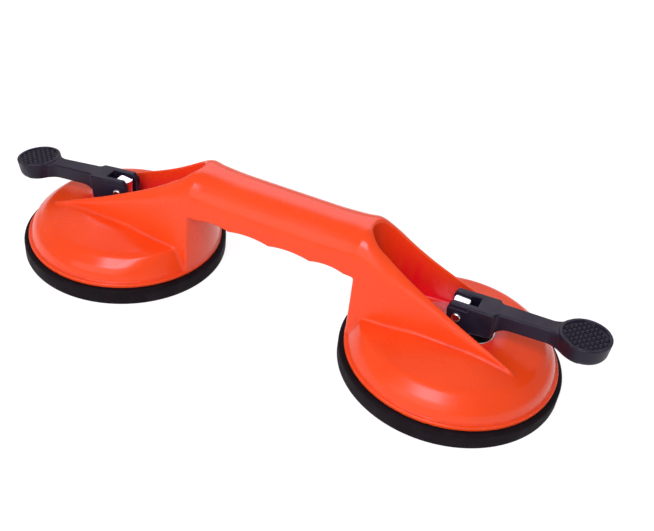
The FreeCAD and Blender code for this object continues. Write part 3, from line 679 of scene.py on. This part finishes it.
def handling_wear():
    """Rubbed outer edges, from the piece's own bends, and a mask of its valleys, used for settled
    dirt and, on the shell, also for painted shade.
    """
    tree, wiring, given, where = effect(
        "handling_wear", {"Sharp From": 0.5, "Patch Scale": 120.0}, ["Worn", "Valley Dirt And Shade"])
    bend = wiring.add("ShaderNodeAttribute", attribute_name="edge").outputs["Fac"]
    patch = wiring.noise(where, given["Patch Scale"], 5.0)
    rubbed = wiring.math("MULTIPLY", bend, wiring.step(patch, 0.35, 0.7, 0.3, 1.3))
    far = wiring.math("MULTIPLY", given["Sharp From"], 3.0)
    worn = wiring.step(rubbed, given["Sharp From"], far)
    # a mask of the valleys: dirt on every piece, and painted shade where the shell darkens it
    valley = wiring.step(wiring.math("MULTIPLY", bend, -1.0), 0.05, 0.6)
    dirt_and_shade = wiring.math("MULTIPLY", valley, wiring.step(patch, 0.3, 0.65))
    wiring.add("NodeGroupOutput", {"Worn": worn, "Valley Dirt And Shade": dirt_and_shade})
    return tree


def fine_scratches():
    """Short hairline scratches in two directions."""
    tree, wiring, given, where = effect(
        "fine_scratches", {"Scale": 60.0, "Share": 0.5}, ["Scratches"])
    lines = []
    for turn, stretch in ((0.5, (1.0, 26.0, 3.0)), (2.2, (22.0, 1.0, 4.0))):
        placed = wiring.add("ShaderNodeMapping", {"Vector": where, "Rotation": (0.2, 0.1, turn),
                                                  "Scale": stretch}).outputs["Vector"]
        hair = wiring.noise(placed, given["Scale"], 1.0)
        lines.append(wiring.step(hair, 0.70, 0.74))
    both = wiring.math("MAXIMUM", lines[0], lines[1])
    gate = wiring.step(wiring.noise(where, 35.0, 2.0), wiring.math("SUBTRACT", 1.0, given["Share"]),
                       wiring.math("SUBTRACT", 1.15, given["Share"]))
    wiring.add("NodeGroupOutput", {"Scratches": wiring.math("MULTIPLY", both, gate)})
    return tree


def drawn_lines():
    """The fine parallel lines of brushed, drawn or turned metal, long where a count is low."""
    tree, wiring, given, where = effect(
        "drawn_lines", {"Along X": 60.0, "Along Y": 4000.0, "Along Z": 4000.0}, ["Lines"])
    counts = wiring.add("ShaderNodeCombineXYZ", {axis: given[f"Along {axis}"] for axis in "XYZ"})
    spread = wiring.add("ShaderNodeVectorMath", {0: where, 1: counts.outputs[0]},
                        operation="MULTIPLY")
    lines = wiring.noise(spread.outputs[0], 1.0, 2.0)
    wiring.add("NodeGroupOutput", {"Lines": lines})
    return tree


MOULDED_SKIN = moulded_skin()
HANDLING_WEAR = handling_wear()
FINE_SCRATCHES = fine_scratches()
DRAWN_LINES = drawn_lines()


class Finish(Wiring):
    """A material whose colour, roughness and relief vary over the surface."""

    def __init__(self, name, **constants):
        self.material = bpy.data.materials.new(name)
        self.material.use_nodes = True
        super().__init__(self.material.node_tree)
        self.shader = self.tree.nodes["Principled BSDF"]
        self.feed(self.shader, {key.replace("_", " "): value for key, value in constants.items()})

    def use(self, group, **values):
        inputs = {key.replace("_", " "): value for key, value in values.items()}
        return self.add("ShaderNodeGroup", inputs, node_tree=group).outputs

    def relief(self, height, distance):
        inputs = {"Height": height, "Distance": distance, "Strength": 1.0}
        bump = self.add("ShaderNodeBump", inputs)
        self.feed(self.shader, {"Normal": bump.outputs["Normal"]})

    def colour(self, socket):
        self.feed(self.shader, {"Base Color": socket})

    def roughness(self, socket):
        self.feed(self.shader, {"Roughness": socket})


def shell_finish():
    """Glossy orange ABS: faint ripple, hairline scratches, paler rubbed edges, and corners darkened
    to a deeper red, partly grime and partly painted shade.

    The deep hollows of the pockets are painted a deeper red, a painted glow that stands in for
    light bouncing between their walls and passing through the plastic.
    """
    finish = Finish("shell_abs", Specular_IOR_Level=0.36)
    skin_of = finish.use(MOULDED_SKIN, Grain_Scale=420.0, Cloud_Scale=28.0)
    wear = finish.use(HANDLING_WEAR, Sharp_From=0.7, Patch_Scale=90.0)
    scratches = finish.use(FINE_SCRATCHES, Scale=75.0, Share=0.40)["Scratches"]
    orange = finish.mixed(skin_of["Cloud"], (0.84, 0.062, 0.006, 1), (0.89, 0.072, 0.008, 1))
    # painted light: the depth of the pockets mixes in a deeper red, standing in for light that
    # bounces inside them
    hollow = finish.add("ShaderNodeAttribute", attribute_name="hollow").outputs["Fac"]
    orange = finish.mixed(hollow, orange, (0.93, 0.008, 0.022, 1))
    rubbed = finish.math("MULTIPLY", wear["Worn"], 0.3)
    orange = finish.mixed(rubbed, orange, (0.95, 0.17, 0.07, 1))
    # partly grime and partly painted shade: the valleys are mixed towards a darker red
    grime_and_shade = finish.math("MULTIPLY", wear["Valley Dirt And Shade"], 0.35)
    finish.colour(finish.mixed(grime_and_shade, orange, (0.52, 0.028, 0.010, 1)))
    rough = finish.step(skin_of["Cloud"], 0.0, 1.0, 0.22, 0.30)
    rough = finish.math("ADD", rough, finish.math("MULTIPLY", scratches, 0.05))
    rough = finish.math("ADD", rough, finish.math("MULTIPLY", wear["Worn"], 0.10))
    finish.roughness(finish.math("ADD", rough, finish.math("MULTIPLY", wear["Valley Dirt And Shade"], 0.2)))
    height = finish.math("SUBTRACT", skin_of["Grain"], finish.math("MULTIPLY", scratches, 0.05))
    finish.relief(height, 0.00002)
    return finish.material


def rubber_finish():
    """Matt black rubber: a fine mould texture, a faint bloom and pale dust in its corners."""
    finish = Finish("pad_rubber", Specular_IOR_Level=0.12)
    skin_of = finish.use(MOULDED_SKIN, Grain_Scale=2600.0, Cloud_Scale=55.0)
    wear = finish.use(HANDLING_WEAR, Sharp_From=0.35, Patch_Scale=150.0)
    black = finish.mixed(skin_of["Cloud"], (0.0042, 0.0022, 0.0036, 1), (0.0075, 0.0042, 0.0062, 1))
    rubbed = finish.math("MULTIPLY", wear["Worn"], 0.45)
    black = finish.mixed(rubbed, black, (0.020, 0.012, 0.018, 1))
    dusty = finish.math("MULTIPLY", wear["Valley Dirt And Shade"], 0.25)
    finish.colour(finish.mixed(dusty, black, (0.07, 0.062, 0.06, 1)))
    finish.roughness(finish.step(skin_of["Cloud"], 0.0, 1.0, 0.64, 0.80))
    finish.relief(skin_of["Grain"], 0.00004)
    return finish.material


def lever_finish():
    """Satin black glass-filled nylon: a dense grain, scuffs, and edges rubbed a little paler."""
    finish = Finish("lever_plastic", Specular_IOR_Level=0.22)
    skin_of = finish.use(MOULDED_SKIN, Grain_Scale=2100.0, Cloud_Scale=85.0)
    wear = finish.use(HANDLING_WEAR, Sharp_From=0.8, Patch_Scale=200.0)
    scratches = finish.use(FINE_SCRATCHES, Scale=90.0, Share=0.5)["Scratches"]
    black = finish.mixed(skin_of["Cloud"], (0.0075, 0.0068, 0.016, 1), (0.0135, 0.0118, 0.025, 1))
    black = finish.mixed(finish.math("MULTIPLY", scratches, 0.3), black, (0.05, 0.05, 0.07, 1))
    rubbed = finish.math("MULTIPLY", wear["Worn"], 0.55)
    black = finish.mixed(rubbed, black, (0.055, 0.05, 0.08, 1))
    dusty = finish.math("MULTIPLY", wear["Valley Dirt And Shade"], 0.12)
    finish.colour(finish.mixed(dusty, black, (0.08, 0.075, 0.08, 1)))
    rough = finish.step(skin_of["Cloud"], 0.0, 1.0, 0.34, 0.46)
    finish.roughness(finish.math("SUBTRACT", rough, finish.math("MULTIPLY", wear["Worn"], 0.06)))
    finish.relief(skin_of["Grain"], 0.00003)
    return finish.material


def metal_finish(name, tone, rough, lines, relief):
    """A plated or drawn steel: parallel lines, cloudy plating and rubbed bright edges.

    Roughness runs between two values along the lines. The finish is given, not its material.
    """
    finish = Finish(name, Metallic=1.0)
    skin_of = finish.use(MOULDED_SKIN, Grain_Scale=900.0, Cloud_Scale=130.0)
    wear = finish.use(HANDLING_WEAR, Sharp_From=0.6, Patch_Scale=220.0)
    drawn = finish.use(DRAWN_LINES, **lines)["Lines"]
    darker = tuple(value * 0.82 for value in tone)
    brighter = tuple(min(1.0, value * 1.12) for value in tone)
    metal = finish.mixed(skin_of["Cloud"], (*tone, 1), (*darker, 1))
    finish.colour(finish.mixed(wear["Worn"], metal, (*brighter, 1)))
    low, high = rough
    spread = finish.step(drawn, 0.3, 0.7, low, high)
    finish.roughness(finish.math("ADD", spread, finish.math("MULTIPLY", skin_of["Cloud"], 0.05)))
    finish.relief(drawn, relief)
    return finish


def wear_plate_finish():
    """Bright plated steel with two tracks where the lever's cam rolls."""
    finish = metal_finish("wear_steel", (0.80, 0.79, 0.79), (0.12, 0.24),
                          {"Along_X": 160.0, "Along_Y": 5200.0, "Along_Z": 5200.0}, 0.000006)
    where = finish.add("ShaderNodeTexCoord").outputs["Object"]
    across = finish.add("ShaderNodeSeparateXYZ", {"Vector": where}).outputs["Y"]
    off_middle = finish.math("ABSOLUTE", across)
    inner = finish.step(off_middle, SLOT_HALF * MM, (SLOT_HALF + TRACK_EDGE) * MM)
    outer = finish.step(off_middle, (FORK_HALF - TRACK_EDGE) * MM, FORK_HALF * MM, 1.0, 0.0)
    track = finish.math("MULTIPLY", inner, outer)
    plated = finish.shader.inputs["Base Color"].links[0].from_socket
    finish.colour(finish.mixed(finish.math("MULTIPLY", track, 0.35), plated, (0.52, 0.51, 0.51, 1)))
    return finish.material


MATERIALS = {
    "shell_abs": shell_finish(),
    "pad_rubber": rubber_finish(),
    "lever_plastic": lever_finish(),
    "wear_steel": wear_plate_finish(),
    "insert_steel": metal_finish("insert_steel", (0.56, 0.57, 0.58), (0.3, 0.45),
                                 {"Along_X": 900.0, "Along_Y": 900.0, "Along_Z": 200.0},
                                 0.00001).material,
    "stud_chrome": metal_finish("stud_chrome", (0.84, 0.84, 0.86), (0.07, 0.15),
                                {"Along_X": 2600.0, "Along_Y": 2600.0, "Along_Z": 260.0},
                                0.000003).material,
    "spring_steel": metal_finish("spring_steel", (0.5, 0.5, 0.52), (0.25, 0.38),
                                 {"Along_X": 1800.0, "Along_Y": 1800.0, "Along_Z": 5200.0},
                                 0.000006).material,
    "pin_steel": metal_finish("pin_steel", (0.80, 0.79, 0.80), (0.10, 0.20),
                              {"Along_X": 3000.0, "Along_Y": 200.0, "Along_Z": 3000.0},
                              0.000004).material,
}

# ---------------------------------------------------------------- repeated and coiled pieces


def growing_tree(name, inputs):
    """A Geometry Nodes tree with named numbers going in, its wiring and its inputs."""
    tree = bpy.data.node_groups.new(name, "GeometryNodeTree")
    for socket, kind in inputs.items():
        tree.interface.new_socket(name=socket, in_out="INPUT", socket_type=kind)
    tree.interface.new_socket(name="Geometry", in_out="OUTPUT", socket_type="NodeSocketGeometry")
    wiring = Wiring(tree)
    return tree, wiring, wiring.add("NodeGroupInput").outputs


def finish_tree(wiring, geometry, finish):
    """Ends a tree with a plain smooth mesh in its finish."""
    smooth = wiring.add("GeometryNodeSetShadeSmooth", {"Geometry": geometry}).outputs[0]
    plain = wiring.add("GeometryNodeRealizeInstances", {"Geometry": smooth}).outputs[0]
    painted = wiring.add("GeometryNodeSetMaterial", {"Geometry": plain, "Material": finish})
    wiring.add("NodeGroupOutput", {"Geometry": painted.outputs[0]})


def coil_tree():
    """A compression spring: a wire round a spiral whose end turns lie flat."""
    tree, wiring, given = growing_tree("return_coil", {
        "Radius": "NodeSocketFloat", "Wire Radius": "NodeSocketFloat", "Turns": "NodeSocketFloat",
        "Height": "NodeSocketFloat", "Flat Share": "NodeSocketFloat"})
    spiral = wiring.add("GeometryNodeCurveSpiral", {
        "Resolution": 40, "Rotations": given["Turns"], "Start Radius": given["Radius"],
        "End Radius": given["Radius"], "Height": given["Height"]}).outputs[0]
    along = wiring.add("GeometryNodeSplineParameter").outputs["Factor"]
    place = wiring.add("ShaderNodeSeparateXYZ", {
        "Vector": wiring.add("GeometryNodeInputPosition").outputs[0]}).outputs
    far = wiring.math("SUBTRACT", 1.0, given["Flat Share"])
    rise = wiring.add("ShaderNodeMapRange", {
        "Value": along, "From Min": given["Flat Share"], "From Max": far,
        "To Min": 0.0, "To Max": given["Height"]}).outputs["Result"]
    flat = wiring.add("ShaderNodeCombineXYZ", {"X": place["X"], "Y": place["Y"], "Z": rise})
    wound = wiring.add("GeometryNodeSetPosition", {"Geometry": spiral, "Position": flat.outputs[0]})
    wire = wiring.add("GeometryNodeCurvePrimitiveCircle", {"Resolution": 14,
                                                           "Radius": given["Wire Radius"]})
    tube = wiring.add("GeometryNodeCurveToMesh", {
        "Curve": wound.outputs[0], "Profile Curve": wire.outputs[0], "Fill Caps": True})
    finish_tree(wiring, tube.outputs[0], MATERIALS["spring_steel"])
    return tree


def bump_tree():
    """Round grip bumps in a staggered grid inside a circle."""
    tree, wiring, given = growing_tree("grip_bumps", {
        "Pitch": "NodeSocketFloat", "Bump Radius": "NodeSocketFloat",
        "Bump Height": "NodeSocketFloat", "Field Radius": "NodeSocketFloat"})
    half_pitch = wiring.math("DIVIDE", given["Pitch"], 2.0)
    rows, columns = 17, 9
    grid = wiring.add("GeometryNodeMeshGrid", {
        "Size X": wiring.math("MULTIPLY", half_pitch, rows - 1.0),
        "Size Y": wiring.math("MULTIPLY", given["Pitch"], columns - 1.0),
        "Vertices X": rows, "Vertices Y": columns}).outputs[0]
    place = wiring.add("GeometryNodeInputPosition").outputs[0]
    x = wiring.add("ShaderNodeSeparateXYZ", {"Vector": place}).outputs["X"]
    row = wiring.math("ROUND", wiring.math("DIVIDE", x, half_pitch))
    odd = wiring.math("MODULO", wiring.math("ABSOLUTE", row), 2.0)
    shift = wiring.add("ShaderNodeCombineXYZ", {"Y": wiring.math("MULTIPLY", odd, half_pitch)})
    staggered = wiring.add("GeometryNodeSetPosition", {
        "Geometry": grid, "Offset": shift.outputs[0]})
    reach = wiring.add("ShaderNodeVectorMath", {0: place}, operation="LENGTH").outputs["Value"]
    outside = wiring.math("GREATER_THAN", reach, given["Field Radius"])
    kept = wiring.add("GeometryNodeDeleteGeometry", {"Geometry": staggered.outputs[0],
                                                     "Selection": outside}, domain="POINT")
    ball = wiring.add("GeometryNodeMeshUVSphere", {"Segments": 14, "Rings": 8, "Radius": 1.0})
    size = wiring.add("ShaderNodeCombineXYZ", {"X": given["Bump Radius"], "Y": given["Bump Radius"],
                                               "Z": given["Bump Height"]})
    bumps = wiring.add("GeometryNodeInstanceOnPoints", {
        "Points": kept.outputs[0], "Instance": ball.outputs[0], "Scale": size.outputs[0]})
    finish_tree(wiring, bumps.outputs[0], MATERIALS["lever_plastic"])
    return tree


def grown(name, tree, place, **values):
    """A piece from a Geometry Nodes tree, as a plain mesh in place."""
    obj = new_object(name, bpy.data.meshes.new(name))
    modifier = obj.modifiers.new(name, "NODES")
    modifier.node_group = tree
    sockets = {item.name: item.identifier for item in tree.interface.items_tree
               if item.in_out == "INPUT"}
    for key, value in values.items():
        modifier[sockets[key.replace("_", " ")]] = value
    plain_mesh(obj)
    obj.data.transform(place)
    return obj


COIL = coil_tree()
BUMPS = bump_tree()

# ---------------------------------------------------------------- pieces


def dress(obj, slot, body, *replaced):
    """Gives a piece its finish, hangs it on its body when a body is named and otherwise works its
    place into its mesh, and hides the nodes that it stands for.
    """
    obj.data.materials.clear()
    obj.data.materials.append(MATERIALS[slot])
    if isinstance(body, str):
        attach(obj, body)
    else:
        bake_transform(obj)
    if replaced:
        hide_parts(*replaced)


def at_cup(side, height=0.0):
    """From a cup's own frame, with X outwards, to the shared frame."""
    way = SIDES[side]
    half_turn = Matrix.Rotation(math.pi if way < 0 else 0, 4, "Z")
    return Matrix.Translation(Vector((way * CUP_X, 0, height)) * MM) @ half_turn


def at_pin(side):
    """From a lever's own frame to the shared frame, with the lever at rest."""
    raised = -math.radians(joint(f"lever_{side}_swing")["range_deg"][0])
    return at_cup(side, pin_height(side)) @ Matrix.Rotation(DROOP - raised, 4, "Y")


def on_axis(side, height):
    """A point on a cup's axis, in the shared frame."""
    return (SIDES[side] * CUP_X * MM, 0.0, height * MM)


def pocket_depth(points):
    """0 outside the lever pockets, rising to 1 well below their rims, where the pockets get their
    painted deeper red.
    """
    x = np.abs(points[:, 0]) - CUP_X
    across = np.abs(points[:, 1])
    height = points[:, 2]
    within = ramp(-pocket_plan(x, across), *POCKET_SHADE_RIM)
    below = ramp(block_top(x) - height, *POCKET_SHADE_DEPTH)
    return within * below * ramp(-x, *POCKET_SHADE_END) * ramp(height, CROWN - 1, CROWN + 1)


def moulded_shell():
    """The shell, with the depth of its pockets kept for the painted bounce light in its colour."""
    piece = skin("moulded_shell", shell, shell_low, shell_high, SHELL_NET)
    # painted light: the depth of the pockets, which tints them a deeper red
    hollow = piece.data.attributes.new("hollow", "FLOAT", "POINT")
    depth = pocket_depth(mesh_points(piece.data) / MM)
    hollow.data.foreach_set("value", depth.astype(np.float32))
    dress(piece, "shell_abs", "shell", "body_shell")


def rubber_ring(side):
    """The rim of a suction disc, with three fine sealing grooves underneath."""
    corners = [(WEB_RADIUS, web_low[2], 0), (SEAT_INSIDE, 0, 1.2)]
    for groove in GROOVES:
        corners += [(groove - GROOVE_HALF, 0, 0.1), (groove - GROOVE_HALF / 2, GROOVE_DEPTH, 0.1),
                    (groove + GROOVE_HALF / 2, GROOVE_DEPTH, 0.1), (groove + GROOVE_HALF, 0, 0.1)]
    corners += [(DISC_RADIUS, 0, 1.2), (DISC_RADIUS, SEAT, 1.8),
                (SEAT_INSIDE, SEAT, 0), (WEB_RADIUS, web_low[2] + WEB_THICKNESS, 0)]
    piece = lathe(f"rubber_ring_{side}", corners, at_cup(side), segments=240)
    dress(piece, "pad_rubber", "shell", f"rubber_rim_{side}")


def rubber_diaphragm(side):
    """The flexing middle of a suction disc, between the shell and the stud."""
    hub = node_box(f"rubber_web_{side}")[1][2]
    low = web_low[2]
    corners = [(0, hub - 5.2, 0), (HUB_UNDER, hub - 5.3, 1.6), (FLEX_RADIUS, low + 1.7, 4.0),
               (WEB_RADIUS, low, 0), (WEB_RADIUS, low + 4.5, 0), (FLEX_RADIUS, low + 4.7, 3.0),
               (HUB_FOOT, hub - 1.7, 1.2), (HUB_RADIUS, hub, 0.7), (0, hub, 0)]
    piece = lathe(f"rubber_diaphragm_{side}", corners, at_cup(side), segments=192)
    body = ("shell", f"stud_{side}", on_axis(side, low), on_axis(side, hub))
    dress(piece, "pad_rubber", body, f"rubber_web_{side}")


def anchor_disc(side):
    """The steel disc moulded on the rubber, with a shallow pressed ring."""
    low = node_box(f"anchor_plate_{side}")[0][2]
    pressed = PLATE_THICKNESS - PRESSING_DEPTH
    corners = [(STUD_RADIUS, 0, 0), (PLATE_RADIUS, 0, 0.3), (PLATE_RADIUS, pressed, 0.3),
               (PRESSING[1], pressed, 0.5), (PRESSING[0], PLATE_THICKNESS, 0.5),
               (STUD_RADIUS, PLATE_THICKNESS, 0)]
    piece = lathe(f"anchor_disc_{side}", corners, at_cup(side, low), segments=144)
    dress(piece, "insert_steel", f"stud_{side}", f"anchor_plate_{side}")


def return_coil(side):
    """The spring between the anchor disc and the underside of the crown."""
    low = node_box(f"anchor_plate_{side}")[1][2]
    high = CROWN - CUP_WALL
    place = at_cup(side, low + SPRING_INSET)
    piece = grown(f"return_coil_{side}", COIL, place, Radius=SPRING_RADIUS * MM,
                  Wire_Radius=SPRING_WIRE / 2 * MM, Turns=SPRING_TURNS,
                  Height=(high - low - 2 * SPRING_INSET) * MM, Flat_Share=SPRING_FLAT_SHARE)
    body = (f"stud_{side}", "shell", on_axis(side, low), on_axis(side, high))
    dress(piece, "spring_steel", body, f"return_spring_{side}")


def draw_stud(side):
    """The chromed stud, from its foot in the anchor disc to its eye."""
    low = (-STUD_RADIUS, -STUD_RADIUS, STUD_FOOT)
    high = (STUD_RADIUS, STUD_RADIUS, STUD_ABOVE_PIN)
    place = at_cup(side, pin_height(side))
    piece = skin(f"chromed_stud_{side}", stud_form, low, high, STUD_NET, place)
    dress(piece, "stud_chrome", f"stud_{side}", f"draw_stud_{side}")


def wear_plate(side):
    """The plate that the lever's cam bears on."""
    low = np.array(wear_low) - (CUP_X, 0, 0)
    high = np.array(wear_high) - (CUP_X, 0, 0)
    piece = skin(f"wear_strip_{side}", wear_form, low, high, WEAR_NET, at_cup(side))
    dress(piece, "wear_steel", "shell", f"wear_plate_{side}")


def lever(side):
    """The forked lever, with round grip bumps in its thumb disc."""
    low = (-CAM_REACH, -THUMB_RADIUS, -CAM_REACH)
    high = (THUMB_AT + THUMB_RADIUS, THUMB_RADIUS, TOP_FACE + THUMB_STEP)
    piece = skin(f"cam_lever_{side}", lever_form, low, high, LEVER_NET, at_pin(side))
    dress(piece, "lever_plastic", f"lever_{side}", f"lever_{side}")
    floor = Matrix.Translation(Vector((THUMB_AT, 0, TOP_FACE + THUMB_STEP - THUMB_RECESS)) * MM)
    bumps = grown(f"grip_bumps_{side}", BUMPS, at_pin(side) @ floor, Pitch=BUMP_PITCH * MM,
                  Bump_Radius=BUMP_RADIUS * MM, Bump_Height=BUMP_HEIGHT * MM,
                  Field_Radius=(THUMB_RADIUS - THUMB_RIM - 0.8 * BUMP_RADIUS) * MM)
    dress(bumps, "lever_plastic", f"lever_{side}")


def lever_pin(side):
    """The steel pin with a domed head on each end."""
    corners = [(0, -PIN_HALF_LENGTH, 0), (PIN_HEAD_RADIUS, -PIN_HALF_LENGTH, 1.0),
               (PIN_HEAD_RADIUS, -FORK_HALF, 0), (PIN_RADIUS, -FORK_HALF, 0),
               (PIN_RADIUS, FORK_HALF, 0), (PIN_HEAD_RADIUS, FORK_HALF, 0),
               (PIN_HEAD_RADIUS, PIN_HALF_LENGTH, 1.0), (0, PIN_HALF_LENGTH, 0)]
    across = at_cup(side, pin_height(side)) @ Matrix.Rotation(math.pi / 2, 4, "X")
    piece = lathe(f"headed_pin_{side}", corners, across, segments=72)
    dress(piece, "pin_steel", f"lever_{side}", f"lever_pin_{side}")


# ---------------------------------------------------------------- floor, camera and light


def stage():
    """A wide pale floor, which shows white and keeps a faint shadow."""
    mesh = bpy.data.meshes.new("floor")
    half = 6.0
    mesh.from_pydata([(-half, -half, 0), (half, -half, 0), (half, half, 0), (-half, half, 0)],
                     [], [(0, 1, 2, 3)])
    floor = new_object("floor", mesh)
    finish = Finish("pale_floor", Base_Color=(0.8, 0.8, 0.8, 1), Roughness=0.9,
                    Specular_IOR_Level=0.0)
    shown = finish.add("ShaderNodeEmission", {"Color": (1, 1, 1, 1), "Strength": 0.84})
    shade = finish.add("ShaderNodeBsdfDiffuse", {"Color": (0.32, 0.32, 0.32, 1)})
    white = finish.add("ShaderNodeAddShader", {0: shown.outputs[0], 1: shade.outputs[0]})
    ray = finish.add("ShaderNodeLightPath").outputs
    seen = finish.math("MAXIMUM", ray["Is Camera Ray"], ray["Is Glossy Ray"])
    seen = finish.math("MAXIMUM", seen, ray["Is Transmission Ray"])
    both = finish.add("ShaderNodeMixShader", {0: seen, 1: finish.shader.outputs[0],
                                              2: white.outputs[0]})
    out = next(node for node in finish.tree.nodes if node.type == "OUTPUT_MATERIAL")
    finish.feed(out, {"Surface": both.outputs[0]})
    mesh.materials.append(finish.material)


def camera():
    """Looks down along the handle from the near right."""
    azimuth, elevation, roll = (math.radians(a) for a in (22.27, 37.09, 6.12))
    target = Vector((13.3, 0.7, 30.0)) * MM
    distance = 465.8 * MM
    forward = Vector((-math.sin(azimuth) * math.cos(elevation),
                      math.cos(azimuth) * math.cos(elevation), -math.sin(elevation)))
    right = forward.cross(Vector((0, 0, 1))).normalized()
    up = right.cross(forward)
    rolled = right * math.cos(roll) + up * math.sin(roll)
    upright = up * math.cos(roll) - right * math.sin(roll)
    turn = Matrix((rolled, upright, -forward)).transposed().to_4x4()
    data = bpy.data.cameras.new("camera")
    data.sensor_width = 36
    data.lens = 47.56
    data.shift_x = 0.0362
    data.shift_y = -0.0028
    data.clip_start = 0.01
    seen = new_object("camera", data)
    seen.matrix_world = Matrix.Translation(target - forward * distance) @ turn
    bpy.context.scene.camera = seen


def lamp(name, place, size, power, colour):
    """A soft rectangular lamp that shines on the middle of the part."""
    data = bpy.data.lights.new(name, "AREA")
    data.shape = "RECTANGLE"
    data.size, data.size_y = size
    data.energy = power
    data.color = colour
    obj = new_object(name, data)
    obj.location = place
    aim = Vector((0, 0, 0.03)) - Vector(place)
    obj.rotation_euler = aim.to_track_quat("-Z", "Y").to_euler()


def lights():
    """A pale world that shows white, and three soft lamps."""
    world = bpy.data.worlds.new("studio")
    world.use_nodes = True
    wiring = Wiring(world.node_tree)
    ray = wiring.add("ShaderNodeLightPath").outputs
    strength = wiring.step(ray["Is Camera Ray"], 0.0, 1.0, 0.42, 1.0)
    wiring.feed(world.node_tree.nodes["Background"], {"Color": (1, 1, 1, 1), "Strength": strength})
    bpy.context.scene.world = world
    lamp("window", (0.05, -0.58, 0.82), (0.40, 0.32), 4.6, (1.0, 0.80, 1.0))
    lamp("room", (-0.10, -1.10, 0.55), (1.3, 0.8), 4.9, (1.0, 0.92, 0.96))
    lamp("behind", (-0.35, 0.85, 0.75), (1.1, 0.7), 4.2, (1.0, 0.84, 1.0))


moulded_shell()
for cup_side in SIDES:
    rubber_ring(cup_side)
    rubber_diaphragm(cup_side)
    anchor_disc(cup_side)
    return_coil(cup_side)
    draw_stud(cup_side)
    wear_plate(cup_side)
    lever(cup_side)
    lever_pin(cup_side)
stage()
camera()
lights()
bpy.context.scene.view_settings.view_transform = "Standard"
